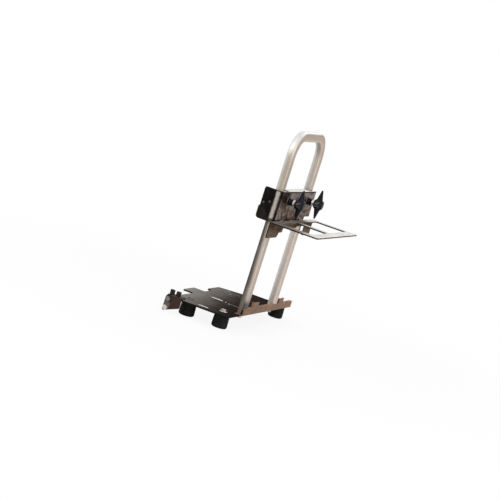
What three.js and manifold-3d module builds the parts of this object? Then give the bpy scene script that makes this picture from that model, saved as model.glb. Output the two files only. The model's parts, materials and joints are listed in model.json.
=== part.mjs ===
// A chainsaw mill: a base plate on rubber feet, a bent tube bow that stands on it, and a guide carriage
// that slides up and down the bow's two legs and is held at a height by two star knobs.
//
// Millimetres. +X is the side that the guide shelf reaches out to, +Y runs from the near leg to the far
// leg, which is the way the mill is pushed, and +Z is up. Everything is set out from the near leg's
// outer low corner and the floor, and the finished group is moved to the middle of its own box.

import * as THREE from 'three';
import { mergeVertices } from 'three/addons/utils/BufferGeometryUtils.js';
import Module from 'manifold-3d';

const wasm = await Module();
wasm.setup();

// Clearances and faceting
const fit = 0.3;
const overrun = 2;
const roundFacets = 24;
const finePlateArc = 4;

// Bow: a flat-sided tube bent into an arch
const tubeWidth = 16;
const tubeDepth = 20;
const tubeWall = 1.5;
const tubeCorner = 5;
const tubeCornerSteps = 4;
const bowSpan = 211;
const bowHeight = 385.5;
const bowBend = 56;
const bowBendFacets = 12;

// Rubber feet
const footHeight = 29.5;
const footRadius = 16.3;
const footTopRadius = 15.4;
const footRound = 4.5;
const footRecessRadius = 7;
const footRecessDepth = 6;
const footPitchX = 73;
const footEastInset = 25;
const footSouthInset = 39;
const tabFootNorthInset = 20;
const mainFootNorthInset = 45;

// Base plate: its width at the tongue and at the rear, and the steps from that width along its west side
const plateThickness = 3;
const plateEast = 9;
const plateSouth = 72;
const plateNorthPast = 30;
const plateCorner = 4;
const rearRoundShare = 2;
const tabRoundShare = 3;
const plateWest = 127;
const tongueDepth = 32;
const saddleDepth = 99;
const saddleInset = 10;
const middleLength = 65;
const middleOutset = 14;
const biteDepth = 46;
const biteInset = 11;
const rearSlant = 19;
const earReach = 64;
const earWidth = 82;
const tabReach = 99;
const tabWidth = 42;

// Slots for the saw's bar studs, and the small holes beside them
const studSlotWidth = 8.5;
const studSlotLength = 40;
const studSlotWest = 101;
const studSlotNorth = 88;
const shortSlotLength = 25;
const shortSlotGap = 15;
const shortSlotDrop = 8;
const rearSlotLength = 32;
const rearSlotNorthInset = 19;
const frontSlotWidth = 6;
const frontSlotInset = 20;
const frontSlotLength = 24;
const smallHoleRadius = 2.2;

// Base rail along the east side, with its two upright stops
const railDepth = 6.3;
const railHeight = 14;
const railWall = 1.5;
const railSouth = 5;
const railNorthPast = 106;
const railFlange = 17;
const stopHeight = 11;
const stopLength = 30;
const nearStopPast = 34;
const farStopPast = 9;

// Screws, bolts and washers
const footBoltRadius = 3;
const footBoltHeadRadius = 5.6;
const footBoltHeadHeight = 4;
const footBoltGrip = 12;
const footWasherRadius = 8;
const footWasherThickness = 1.4;
const legScrewRadius = 2.5;
const legScrewHeadRadius = 4.6;
const legScrewHeadHeight = 4;
const legPlugHeight = 26;
const legPlugBore = 20;
const railScrewRadius = 2;
const railScrewHeadRadius = 4;
const railScrewHeadHeight = 2.2;
const railScrewPast = 42;
const railScrewShare = 0.62;

// End lug: an angle bolted on the tongue, with a spur that reaches down to the ground
const lugWidth = 34;
const lugThickness = 3;
const lugSpurDrop = 14;
const lugTopRound = 9;
const lugShelf = 22;
const lugBoltShares = [0.2, 0.6];
const lugFaceBoltShare = 0.2;
const lugSpurBoltShare = 0.18;
const lugBoltRadius = 2.5;
const lugBoltHeadRadius = 5.2;
const lugBoltHeadHeight = 9;
const lugNutHeight = 4;
const lugFaceBoltHeight = 4.5;

// Carriage bracket: one folded sheet, with a flange across the near leg and a web past both legs
const carriageBottom = 229.5;
const bracketHeight = 66;
const sheet = 2.5;
const padThickness = 2.2;
const padGap = 0.4;
const bracketBend = 10;
const bracketBendFacets = 10;
const flangeReach = 19.5;
const flangeStep = 2.5;
const flangeStepHeight = 27;
const flangeTopRound = 5;
const flangeLowRound = 8;
const webPast = 8.6;
const webRelief = 11.5;
const webReliefLength = 34;
const lipDepth = 17;
const lipInset = 20;
const lipRound = 14;

// Guide shelf: a slotted plate with two ears turned down in front of the legs
const shelfThickness = 3;
const shelfDrop = 2;
const shelfReach = 103.5;
const shelfSouth = 38;
const shelfNorthPast = 42;
const shelfCorner = 5;
const shelfRoot = 14;
const shelfEnd = 21.5;
const shelfFrontBar = 30;
const shelfRearBar = 15;
const shelfMiddleBar = 20;
const nearWindow = 106;
const earDrop = 31;
const nearEarLength = 95;
const nearEarStep = 20;
const nearEarShoulder = 10;
const nearEarChamfer = 9;
const farEarLength = 49;

// Star knobs, their studs and the jaws that they draw against the legs
const knobInset = 40;
const knobHeight = 46.5;
const knobReach = 26;
const knobRadius = 30.5;
const knobArmRoot = 9.3;
const knobArmTip = 1.9;
const knobHubRadius = 9.5;
const knobHubDepth = 19;
const knobNeckRadius = 6.6;
const knobNeckFoot = 8;
const knobBars = 2;
const studRadius = 3.8;
const studClearance = 0.6;
const clampWasherRadius = 9;
const clampWasherThickness = 1.6;
const jawThickness = 8;
const jawHeight = 26;
const jawInset = 0.5;
const jawHeel = 7;
const jawHeelOffset = 9;
const jawSlack = 0.3;

// Slide pads between the sheet and the tube
const padHeight = 42;
const padRivetRadius = 1.9;
const padRivetHeadRadius = 2.6;
const padRivetHead = 1;
const padRivetPitch = 11.7;
const padRivetRise = 4.5;
const padRivetDrop = 32;
const padRivetInset = 6.5;
const padReach = 18;
const padPast = 6;
const earPadHeight = 22;

// Levels and planes that several pieces share
const plateTop = footHeight + plateThickness;
const plateNorth = bowSpan + plateNorthPast;
const farLeg = bowSpan - tubeDepth;
const midSpan = bowSpan / 2;
const webOuter = tubeWidth + fit + padThickness + padGap + sheet;
const webInner = webOuter - sheet;
const flangeOuter = -(fit + padThickness + padGap + sheet);
const flangeInner = flangeOuter + sheet;
const carriageTop = carriageBottom + bracketHeight;
const shelfTop = carriageBottom + shelfDrop + shelfThickness;
const knobAxis = carriageBottom + knobHeight;
const knobPlaces = [knobInset, bowSpan - knobInset];

// Finishes
const finish = (color, metalness, roughness) => (
  new THREE.MeshStandardMaterial({ color, metalness, roughness }));
const satinSteel = finish(0xcfc8bf, 0.8, 0.42);
const darkSteel = finish(0x4a423c, 0.7, 0.45);
const blackSteel = finish(0x26241f, 0.6, 0.35);
const polishedSteel = finish(0xd8d4ce, 0.9, 0.3);
const brownSteel = finish(0x8d7865, 0.7, 0.45);
const zinc = finish(0xc8c8c2, 0.85, 0.35);
const rubber = finish(0x1d1c1d, 0, 0.85);
const blackPlastic = finish(0x1e1d24, 0, 0.4);
const nylon = finish(0xdad7cc, 0, 0.6);

// Shape and solid helpers
const toSolid = (geometry) => {
  const bare = geometry.index ? geometry.toNonIndexed() : geometry.clone();
  bare.deleteAttribute('normal');
  bare.deleteAttribute('uv');
  const merged = mergeVertices(bare);
  return new wasm.Manifold(new wasm.Mesh({
    numProp: 3,
    vertProperties: new Float32Array(merged.attributes.position.array),
    triVerts: new Uint32Array(merged.index.array),
  }));
};

const root = new THREE.Group();
const addPiece = (name, solid, material) => {
  const { vertProperties, triVerts } = solid.getMesh();
  const geometry = new THREE.BufferGeometry();
  geometry.setAttribute('position', new THREE.BufferAttribute(new Float32Array(vertProperties), 3));
  geometry.setIndex(new THREE.BufferAttribute(new Uint32Array(triVerts), 1));
  geometry.computeVertexNormals();
  const mesh = new THREE.Mesh(geometry, material);
  mesh.name = name;
  root.add(mesh);
};

// Straight outline whose corners are rounded: each point is [x, y, radius].
const roundedOutline = (points, arcSteps = finePlateArc) => {
  const outline = [];
  points.forEach(([x, y, radius], index) => {
    const corner = new THREE.Vector2(x, y);
    const before = points[(index + points.length - 1) % points.length];
    const after = points[(index + 1) % points.length];
    const back = new THREE.Vector2(before[0], before[1]).sub(corner);
    const ahead = new THREE.Vector2(after[0], after[1]).sub(corner);
    if (!radius) {
      outline.push(corner);
      return;
    }
    const half = Math.acos(back.dot(ahead) / (back.length() * ahead.length())) / 2;
    const reach = Math.min(radius / Math.tan(half), back.length() / 2, ahead.length() / 2);
    const start = corner.clone().add(back.clone().setLength(reach));
    const end = corner.clone().add(ahead.clone().setLength(reach));
    const curve = new THREE.QuadraticBezierCurve(start, corner, end);
    outline.push(...curve.getPoints(arcSteps));
  });
  return new THREE.Shape(outline);
};

// A slab: an outline in two axes, extruded along the third from a start value.
const axes = {
  x: new THREE.Matrix4().makeBasis(
    new THREE.Vector3(0, 1, 0), new THREE.Vector3(0, 0, 1), new THREE.Vector3(1, 0, 0)),
  y: new THREE.Matrix4().makeBasis(
    new THREE.Vector3(0, 0, 1), new THREE.Vector3(1, 0, 0), new THREE.Vector3(0, 1, 0)),
  z: new THREE.Matrix4(),
};
const slab = (shape, along, start, thickness) => {
  const geometry = new THREE.ExtrudeGeometry(shape, { depth: thickness, bevelEnabled: false });
  geometry.translate(0, 0, start);
  geometry.applyMatrix4(axes[along]);
  return toSolid(geometry);
};

const box = (west, east, south, north, low, high) => {
  const geometry = new THREE.BoxGeometry(east - west, north - south, high - low);
  geometry.translate((west + east) / 2, (south + north) / 2, (low + high) / 2);
  return toSolid(geometry);
};

// A turned piece: profile points are [radius, distance along the axis], starting and ending on the axis.
const turned = (profile, along, place, facets = roundFacets) => {
  const geometry = new THREE.LatheGeometry(profile.map(([r, z]) => new THREE.Vector2(r, z)), facets);
  geometry.rotateX(Math.PI / 2);
  geometry.applyMatrix4(axes[along]);
  geometry.translate(...place);
  return toSolid(geometry);
};
const rod = (radius, start, end, along, place, facets = roundFacets) => (
  turned([[0, start], [radius, start], [radius, end], [0, end]], along, place, facets)
);

const obround = (centreX, centreY, length, width) => {
  const straight = (length - width) / 2;
  const shape = new THREE.Shape();
  shape.absarc(centreX + straight, centreY, width / 2, -Math.PI / 2, Math.PI / 2, false);
  shape.absarc(centreX - straight, centreY, width / 2, Math.PI / 2, 3 * Math.PI / 2, false);
  return new THREE.Shape(shape.getPoints(finePlateArc));
};

// A screw or bolt: a shank from start to the head's seat, then the head beyond it.
const bolt = (radius, headRadius, shankEnd, seat, headEnd, along, place, headFacets) => (
  rod(radius, Math.min(shankEnd, seat), Math.max(shankEnd, seat), along, place, roundFacets / 2)
    .add(rod(headRadius, Math.min(seat, headEnd), Math.max(seat, headEnd), along, place, headFacets))
);

// A flat ring
const ring = (outer, inner, start, end, along, place) => turned(
  [[inner, start], [outer, start], [outer, end], [inner, end], [inner, start]], along, place);

// Where the feet stand
const footEast = plateEast - footEastInset;
const footWest = footEast - footPitchX;
const footPlaces = {
  near_east: [footEast, footSouthInset - plateSouth],
  near_west: [footWest, footSouthInset - plateSouth],
  far_east: [plateEast - tabWidth / 2, plateNorth + tabReach - tabFootNorthInset],
  far_west: [footWest, plateNorth - mainFootNorthInset],
};

// Where the leg screws, rail screws and lug bolts go through the base plate
const legPlaces = { near: tubeDepth / 2, far: farLeg + tubeDepth / 2 };
const legScrewX = (tubeWall + tubeWidth - railDepth - fit) / 2;
const railFlangeMiddle = tubeWidth - railDepth - (railFlange - railDepth) / 2;
const railStart = -railSouth;
const railEnd = bowSpan + railNorthPast;
const railScrewPlaces = [tubeDepth + railScrewPast, bowSpan * railScrewShare, bowSpan + railScrewPast];
const lugWest = -plateWest;
const lugBoltPlaces = lugBoltShares.map((share) => lugWest + lugWidth * share);
const lugBoltY = -plateSouth + lugShelf / 2;

// Base plate: a cut sheet with a tongue, a saddle and a bite along its west side, a slanted rear edge
// and an ear that ends in a tab to the north
const makeBasePlate = () => {
  const tongueNorth = -plateSouth + tongueDepth;
  const middleSouth = tongueNorth + saddleDepth;
  const middleNorth = middleSouth + middleLength;
  const biteNorth = middleNorth + biteDepth;
  const saddleWest = saddleInset - plateWest;
  const middleWest = -middleOutset - plateWest;
  const biteWest = biteInset - plateWest;
  const earWest = plateEast - earWidth;
  const tabWest = plateEast - tabWidth;
  const outline = roundedOutline([
    [plateEast, -plateSouth, plateCorner],
    [plateEast, plateNorth + tabReach, plateCorner],
    [tabWest, plateNorth + tabReach, plateCorner * tabRoundShare],
    [tabWest, plateNorth + earReach, plateCorner],
    [earWest, plateNorth + earReach, plateCorner],
    [earWest, plateNorth + rearSlant, plateCorner],
    [-plateWest, plateNorth, plateCorner * rearRoundShare],
    [-plateWest, biteNorth, plateCorner],
    [biteWest, biteNorth, plateCorner],
    [biteWest, middleNorth, plateCorner],
    [middleWest, middleNorth, plateCorner],
    [middleWest, middleSouth, plateCorner],
    [saddleWest, middleSouth, plateCorner],
    [saddleWest, tongueNorth, plateCorner],
    [-plateWest, tongueNorth, plateCorner],
    [-plateWest, -plateSouth, plateCorner],
  ]);
  const slotPlaces = [
    [-studSlotWest + studSlotLength / 2, studSlotNorth, studSlotLength, studSlotWidth],
    [-studSlotWest + studSlotLength + shortSlotGap + shortSlotLength / 2, studSlotNorth - shortSlotDrop,
      shortSlotLength, studSlotWidth],
    [-studSlotWest + rearSlotLength / 2, plateNorth - rearSlotNorthInset, rearSlotLength, studSlotWidth],
    [footWest + footPitchX / 2, -plateSouth + frontSlotInset, frontSlotLength, frontSlotWidth],
  ];
  outline.holes = slotPlaces.map(([x, y, length, width]) => obround(x, y, length, width));
  const through = (x, y, radius) => (
    rod(radius, footHeight - overrun, plateTop + overrun, 'z', [x, y, 0], roundFacets / 2));
  let plate = slab(outline, 'z', footHeight, plateThickness);
  Object.values(footPlaces).forEach(([x, y]) => {
    plate = plate.subtract(through(x, y, footBoltRadius + fit));
  });
  Object.values(legPlaces).forEach((y) => {
    plate = plate.subtract(through(legScrewX, y, legScrewRadius + fit));
  });
  railScrewPlaces.forEach((y) => {
    plate = plate.subtract(through(railFlangeMiddle, y, railScrewRadius + fit));
  });
  lugBoltPlaces.forEach((x) => {
    plate = plate.subtract(through(x, lugBoltY, lugBoltRadius + fit));
  });
  const gapMiddle = -studSlotWest + studSlotLength + shortSlotGap / 2;
  return plate.subtract(through(gapMiddle, studSlotNorth - shortSlotDrop / 2, smallHoleRadius));
};

// Bow: the arch outline with rounded edges, hollow, open at both feet and notched there for the rail
const archShape = (inset, low) => {
  const top = plateTop + bowHeight - inset;
  const outerBend = bowBend - inset;
  const innerBend = bowBend - tubeDepth + inset;
  const near = inset;
  const far = bowSpan - inset;
  const nearInside = tubeDepth - inset;
  const farInside = bowSpan - tubeDepth + inset;
  const underside = plateTop + bowHeight - tubeDepth + inset;
  const shape = new THREE.Shape();
  shape.moveTo(near, low);
  shape.lineTo(nearInside, low);
  shape.absarc(nearInside + innerBend, underside - innerBend, innerBend, Math.PI, Math.PI / 2, true);
  shape.absarc(farInside - innerBend, underside - innerBend, innerBend, Math.PI / 2, 0, true);
  shape.lineTo(farInside, low);
  shape.lineTo(far, low);
  shape.absarc(far - outerBend, top - outerBend, outerBend, 0, Math.PI / 2, false);
  shape.absarc(near + outerBend, top - outerBend, outerBend, Math.PI / 2, Math.PI, false);
  return shape;
};
const tubeBody = (corner, low) => {
  const geometry = new THREE.ExtrudeGeometry(archShape(tubeCorner, low), {
    depth: tubeWidth - 2 * tubeCorner,
    curveSegments: bowBendFacets,
    bevelEnabled: true,
    bevelThickness: corner,
    bevelSize: corner,
    bevelSegments: tubeCornerSteps,
  });
  geometry.translate(0, 0, tubeCorner);
  geometry.applyMatrix4(axes.x);
  return toSolid(geometry);
};
const makeBow = () => {
  const low = plateTop - tubeCorner - overrun;
  const belowPlate = box(-overrun, tubeWidth + overrun, -overrun, bowSpan + overrun,
    plateTop - tubeCorner * 2 - overrun * 2, plateTop);
  const railNotch = box(tubeWidth - railDepth - fit, tubeWidth + overrun, -overrun, bowSpan + overrun,
    plateTop - overrun, plateTop + railHeight + fit);
  return tubeBody(tubeCorner, low).subtract(tubeBody(tubeCorner - tubeWall, low)).subtract(belowPlate)
    .subtract(railNotch);
};

// Solid plugs inside the leg ends, which the leg screws hold
const makeLegPlug = (y) => {
  const inside = tubeWall + fit;
  const east = tubeWidth - railDepth - 2 * fit;
  const south = y - tubeDepth / 2 + inside;
  const north = y + tubeDepth / 2 - inside;
  const plug = slab(roundedOutline([
    [inside, south, tubeCorner],
    [east, south, 0],
    [east, north, 0],
    [inside, north, tubeCorner],
  ]), 'z', plateTop + fit, legPlugHeight - fit);
  return plug.subtract(rod(legScrewRadius + fit, plateTop - overrun, plateTop + legPlugBore, 'z',
    [legScrewX, y, 0], roundFacets / 2));
};
const makeLegScrew = (y) => bolt(legScrewRadius, legScrewHeadRadius, plateTop + legPlugBore - fit * 2,
  footHeight, footHeight - legScrewHeadHeight, 'z', [legScrewX, y, 0], roundFacets / 2);

// Base rail: a channel whose wide lower flange lies on the plate, with two stops folded up from it
const makeRail = () => {
  const west = tubeWidth - railDepth;
  const east = tubeWidth;
  const low = plateTop;
  const high = plateTop + railHeight;
  const north = railEnd;
  let rail = box(west, east, railStart, north, low, high)
    .subtract(box(west - overrun, east - railWall, railStart - overrun, north + overrun,
      low + railWall, high - railWall))
    .add(box(tubeWidth - railFlange, east, railStart, north, low, low + railWall));
  Object.values(legPlaces).forEach((y) => {
    const clear = tubeDepth / 2 + fit;
    rail = rail.subtract(box(tubeWidth - railFlange - overrun, west, y - clear, y + clear,
      low - overrun, low + railWall + overrun));
  });
  railScrewPlaces.forEach((y) => {
    rail = rail.subtract(rod(railScrewRadius + fit, low - overrun, low + railWall + overrun, 'z',
      [railFlangeMiddle, y, 0], roundFacets / 2));
  });
  [tubeDepth + nearStopPast, bowSpan + farStopPast].forEach((south) => {
    const stopNorth = south + stopLength;
    const shell = box(west, east, south, stopNorth, high - railWall, high + stopHeight)
      .subtract(box(west - overrun, east - railWall, south + railWall, stopNorth + overrun,
        high, high + stopHeight + overrun));
    rail = rail.add(shell);
  });
  return rail;
};
const makeRailScrew = (y) => bolt(railScrewRadius, railScrewHeadRadius, footHeight,
  plateTop + railWall, plateTop + railWall + railScrewHeadHeight, 'z', [railFlangeMiddle, y, 0],
  roundFacets / 2);

// Foot: a turned rubber buffer with a rounded tread and a recess under it
const makeFoot = ([x, y]) => {
  const profile = [[0, footRecessDepth], [footRecessRadius, footRecessDepth], [footRecessRadius, 0]];
  const treadSteps = [0, 1, 2, 3, 4];
  treadSteps.forEach((step) => {
    const angle = (Math.PI / 2) * (step / (treadSteps.length - 1));
    profile.push([footRadius - footRound + footRound * Math.sin(angle),
      footRound - footRound * Math.cos(angle)]);
  });
  const socket = footHeight - footBoltGrip - fit;
  profile.push([footTopRadius, footHeight], [footBoltRadius + fit, footHeight],
    [footBoltRadius + fit, socket], [0, socket]);
  return turned(profile, 'z', [x, y, 0]);
};
const makeFootWasher = ([x, y]) => ring(footWasherRadius, footBoltRadius + fit, plateTop,
  plateTop + footWasherThickness, 'z', [x, y, 0]);
const makeFootBolt = ([x, y]) => {
  const seat = plateTop + footWasherThickness;
  return bolt(footBoltRadius, footBoltHeadRadius, footHeight - footBoltGrip, seat,
    seat + footBoltHeadHeight, 'z', [x, y, 0], 6);
};

// End lug: its shelf lies on the tongue, and its face hangs in front of it down to a spur
const lugFace = -plateSouth - lugThickness - fit;
const lugFaceBoltX = lugWest + lugWidth * lugFaceBoltShare;
const lugFaceBoltZ = plateTop - plateThickness - lugThickness;
const lugPinX = lugWest + lugWidth * lugSpurBoltShare;
const lugPinZ = lugBoltHeadRadius + lugThickness;
const makeEndLug = () => {
  const east = lugWest + lugWidth;
  const high = plateTop + lugThickness;
  const face = slab(roundedOutline([
    [fit, lugWest, lugThickness],
    [lugSpurDrop, east, lugThickness],
    [high, east, 0],
    [high, lugWest, lugTopRound],
  ]), 'y', lugFace, lugThickness);
  const shelf = box(lugWest + lugThickness, east, lugFace, -plateSouth + lugShelf, plateTop, high);
  let lug = face.add(shelf);
  lugBoltPlaces.forEach((x) => {
    lug = lug.subtract(rod(lugBoltRadius + fit, plateTop - overrun, high + overrun, 'z',
      [x, lugBoltY, 0], roundFacets / 2));
  });
  [[lugFaceBoltX, lugFaceBoltZ], [lugPinX, lugPinZ]].forEach(([x, z]) => {
    lug = lug.subtract(rod(lugBoltRadius + fit, lugFace - overrun, lugFace + lugThickness + overrun, 'y',
      [x, 0, z], roundFacets / 2));
  });
  return lug;
};
const makeLugBolt = (x) => {
  const seat = plateTop + lugThickness;
  return bolt(lugBoltRadius, lugBoltHeadRadius, footHeight - lugNutHeight - fit, seat,
    seat + lugBoltHeadHeight, 'z', [x, lugBoltY, 0], 6);
};
const makeLugNut = (x) => ring(lugBoltHeadRadius, lugBoltRadius + fit, footHeight - lugNutHeight,
  footHeight, 'z', [x, lugBoltY, 0]);
const makeLugFaceBolt = ([x, z]) => bolt(lugBoltRadius, lugBoltHeadRadius, lugFace + lugThickness,
  lugFace, lugFace - lugFaceBoltHeight, 'y', [x, 0, z], 6);

// Carriage bracket: the plan line of the folded sheet is carried up, then trimmed to its outlines
const makeBracket = () => {
  const webNorth = bowSpan + webPast;
  const west = -flangeReach;
  const plan = new THREE.Shape();
  const turnX = webOuter - bracketBend;
  const turnY = flangeOuter + bracketBend;
  plan.moveTo(west - flangeStep, flangeOuter);
  plan.absarc(turnX, turnY, bracketBend, -Math.PI / 2, 0, false);
  plan.lineTo(webOuter, webNorth);
  plan.lineTo(webInner, webNorth);
  plan.absarc(turnX, turnY, bracketBend - sheet, 0, -Math.PI / 2, true);
  plan.lineTo(west - flangeStep, flangeInner);
  const sheetBody = slab(new THREE.Shape(plan.getPoints(bracketBendFacets)), 'z', carriageBottom,
    bracketHeight);
  const flangeCut = slab(roundedOutline([
    [carriageBottom, west - flangeStep, flangeLowRound],
    [carriageBottom, webOuter + overrun, 0],
    [carriageTop, webOuter + overrun, 0],
    [carriageTop, west, flangeTopRound],
    [carriageBottom + flangeStepHeight, west, 0],
    [carriageBottom + flangeStepHeight - flangeStep, west - flangeStep, 0],
  ]), 'y', flangeOuter - overrun, webNorth + overrun * 2 - flangeOuter);
  const relief = box(webInner - overrun, webOuter + overrun, webNorth - webReliefLength,
    webNorth + overrun, carriageBottom - overrun, carriageBottom + webRelief);
  const lipSouth = tubeDepth + lipInset;
  const lipNorth = farLeg - lipInset / 2;
  const lip = slab(roundedOutline([
    [webOuter - sheet / 2, lipSouth, 0],
    [webOuter - sheet / 2, lipNorth, 0],
    [webInner - lipDepth, lipNorth, lipRound],
    [webInner - lipDepth, lipSouth, lipRound],
  ]), 'z', carriageTop - sheet, sheet);
  let bracket = sheetBody.intersect(flangeCut).subtract(relief).add(lip);
  knobPlaces.forEach((y) => {
    bracket = bracket.subtract(rod(studRadius + studClearance, webInner - overrun,
      webOuter + overrun, 'x', [0, y, knobAxis], roundFacets / 2));
  });
  padRivetPlaces.forEach(([x, z]) => {
    bracket = bracket.subtract(rod(padRivetRadius + fit, flangeOuter - overrun, flangeInner + overrun,
      'y', [x, 0, z], roundFacets / 2));
  });
  return bracket;
};

// Side pad on the flange, and the rivets that hold it
const padRivetPlaces = [0, 1].map((step) => (
  [-flangeReach + padRivetInset + step * padRivetPitch,
    carriageTop - padRivetDrop + step * padRivetRise]));
const padLow = carriageBottom + (bracketHeight - padHeight) / 2;
const makeSidePad = () => {
  let pad = box(-padReach, webOuter - bracketBend - fit, flangeInner, flangeInner + padThickness, padLow,
    padLow + padHeight);
  padRivetPlaces.forEach(([x, z]) => {
    pad = pad.subtract(rod(padRivetRadius + fit, flangeInner - overrun,
      flangeInner + padThickness * 2 / 3, 'y', [x, 0, z], roundFacets / 2));
  });
  return pad;
};
const makePadRivet = ([x, z]) => bolt(padRivetRadius, padRivetHeadRadius,
  flangeInner + padThickness * 2 / 3 - fit, flangeOuter, flangeOuter - padRivetHead, 'y', [x, 0, z],
  roundFacets / 2);
const makeWebPad = (south, north) => box(webInner - padThickness, webInner, south, north, padLow,
  padLow + padHeight);

// Guide shelf: windows between its bars, and two ears that hang in front of the legs
const shelfWest = webOuter + fit;
const makeShelf = () => {
  const east = webOuter + shelfReach;
  const north = bowSpan + shelfNorthPast;
  const low = shelfTop - shelfThickness;
  const outline = roundedOutline([
    [shelfWest, -shelfSouth, 0],
    [east, -shelfSouth, shelfCorner],
    [east, north, shelfCorner],
    [shelfWest, north, 0],
  ]);
  const windowWest = webOuter + shelfRoot;
  const windowEast = east - shelfEnd;
  const firstWindow = -shelfSouth + shelfFrontBar;
  const secondWindow = firstWindow + nearWindow + shelfMiddleBar;
  const windows = [[firstWindow, firstWindow + nearWindow], [secondWindow, north - shelfRearBar]];
  outline.holes = windows.map(([start, end]) => roundedOutline([
    [windowWest, start, shelfCorner],
    [windowEast, start, shelfCorner],
    [windowEast, end, shelfCorner],
    [windowWest, end, shelfCorner],
  ]));
  const earLow = low - earDrop;
  const nearEar = slab(roundedOutline([
    [-shelfSouth, low, 0],
    [-shelfSouth, earLow, shelfThickness],
    [-shelfSouth + nearEarLength - nearEarStep - nearEarChamfer, earLow, shelfThickness],
    [-shelfSouth + nearEarLength - nearEarStep, earLow + nearEarShoulder, shelfThickness],
    [-shelfSouth + nearEarLength, earLow + nearEarShoulder, shelfThickness],
    [-shelfSouth + nearEarLength, low, 0],
  ]), 'x', shelfWest, sheet);
  const farEar = slab(roundedOutline([
    [north - farEarLength, low, 0],
    [north - farEarLength, earLow, shelfThickness],
    [north, earLow, shelfThickness],
    [north, low, 0],
  ]), 'x', shelfWest, sheet);
  return slab(outline, 'z', low, shelfThickness).add(nearEar).add(farEar);
};
const makeEarPad = () => {
  const high = carriageBottom - fit;
  return box(tubeWidth + fit, shelfWest, 0, tubeDepth, high - earPadHeight, high);
};

// Star knob: tapered arms about a hub, on a waisted neck that bears on the washer
const neckFoot = webOuter + clampWasherThickness + fit;
const knobPlane = webOuter + knobReach;
const makeKnob = (y) => {
  const hubBack = knobPlane - knobHubDepth / 2;
  const hubFront = knobPlane + knobHubDepth / 2;
  const dome = knobHubDepth / 5;
  let knob = turned([
    [0, neckFoot], [knobNeckFoot, neckFoot], [knobNeckFoot, neckFoot + dome],
    [knobNeckRadius, (neckFoot + hubBack) / 2], [knobHubRadius, hubBack + dome],
    [knobHubRadius, hubFront - dome], [knobHubRadius - dome, hubFront], [0, hubFront],
  ], 'x', [0, y, knobAxis]);
  const barProfile = [[0, -knobRadius], [knobArmTip, -knobRadius], [knobArmRoot, 0],
    [knobArmTip, knobRadius], [0, knobRadius]].map(([r, z]) => new THREE.Vector2(r, z));
  const halfFacet = Math.PI / (roundFacets / 2);
  for (let index = 0; index < knobBars; index += 1) {
    const bar = new THREE.LatheGeometry(barProfile, roundFacets / 2);
    bar.rotateY(halfFacet);
    bar.rotateZ((Math.PI * index) / knobBars);
    bar.applyMatrix4(axes.x);
    bar.translate(knobPlane, y, knobAxis);
    knob = knob.add(toSolid(bar));
  }
  const socketEnd = knobPlane;
  return knob.subtract(rod(studRadius + fit, neckFoot - overrun, socketEnd, 'x', [0, y, knobAxis],
    roundFacets / 2));
};
const jawFace = -jawSlack;
const jawBack = jawFace - jawThickness;
const makeStud = (y) => rod(studRadius, jawBack - overrun, knobPlane - fit, 'x', [0, y, knobAxis],
  roundFacets / 2);
const makeClampWasher = (y) => ring(clampWasherRadius, studRadius + studClearance, webOuter,
  webOuter + clampWasherThickness, 'x', [0, y, knobAxis]);

// Jaw: a bar behind the leg, with a heel that bears on the back of the web past the stud
const makeJaw = (y) => {
  const side = y < midSpan ? 1 : -1;
  const legOuter = side > 0 ? 0 : bowSpan;
  const tip = legOuter + side * jawInset;
  const heelStart = y + side * jawHeelOffset;
  const heelEnd = heelStart + side * jawHeel;
  const outline = new THREE.Shape([
    [jawBack, tip], [jawFace, tip], [jawFace, heelStart], [webInner - jawSlack * 2, heelStart],
    [webInner - jawSlack * 2, heelEnd], [jawBack, heelEnd],
  ].map(([px, py]) => new THREE.Vector2(px, py)));
  return slab(outline, 'z', knobAxis - jawHeight / 2, jawHeight)
    .subtract(rod(studRadius + fit, jawBack - overrun, jawFace + overrun, 'x', [0, y, knobAxis],
      roundFacets / 2));
};

addPiece('base_plate', makeBasePlate(), darkSteel);
addPiece('bow', makeBow(), satinSteel);
addPiece('base_rail', makeRail(), brownSteel);
Object.entries(footPlaces).forEach(([place, spot]) => {
  addPiece(`foot_${place}`, makeFoot(spot), rubber);
  addPiece(`foot_washer_${place}`, makeFootWasher(spot), zinc);
  addPiece(`foot_bolt_${place}`, makeFootBolt(spot), zinc);
});
Object.entries(legPlaces).forEach(([place, y]) => {
  addPiece(`leg_plug_${place}`, makeLegPlug(y), zinc);
  addPiece(`leg_screw_${place}`, makeLegScrew(y), zinc);
});
railScrewPlaces.forEach((y, index) => addPiece(`rail_screw_${index + 1}`, makeRailScrew(y), zinc));
addPiece('end_lug', makeEndLug(), brownSteel);
lugBoltPlaces.forEach((x, index) => {
  addPiece(`lug_bolt_${index + 1}`, makeLugBolt(x), zinc);
  addPiece(`lug_nut_${index + 1}`, makeLugNut(x), zinc);
});
addPiece('lug_face_bolt', makeLugFaceBolt([lugFaceBoltX, lugFaceBoltZ]), zinc);
addPiece('lug_spur_bolt', makeLugFaceBolt([lugPinX, lugPinZ]), zinc);
addPiece('carriage_bracket', makeBracket(), blackSteel);
addPiece('guide_shelf', makeShelf(), polishedSteel);
addPiece('side_pad', makeSidePad(), nylon);
padRivetPlaces.forEach((spot, index) => addPiece(`pad_rivet_${index + 1}`, makePadRivet(spot), zinc));
addPiece('web_pad_near', makeWebPad(flangeOuter + bracketBend + fit, tubeDepth + padPast), nylon);
addPiece('web_pad_far', makeWebPad(farLeg - padPast, bowSpan), nylon);
addPiece('ear_pad', makeEarPad(), nylon);
['near', 'far'].forEach((place, index) => {
  const y = knobPlaces[index];
  addPiece(`star_knob_${place}`, makeKnob(y), blackPlastic);
  addPiece(`clamp_stud_${place}`, makeStud(y), zinc);
  addPiece(`clamp_washer_${place}`, makeClampWasher(y), zinc);
  addPiece(`clamp_jaw_${place}`, makeJaw(y), darkSteel);
});

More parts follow.
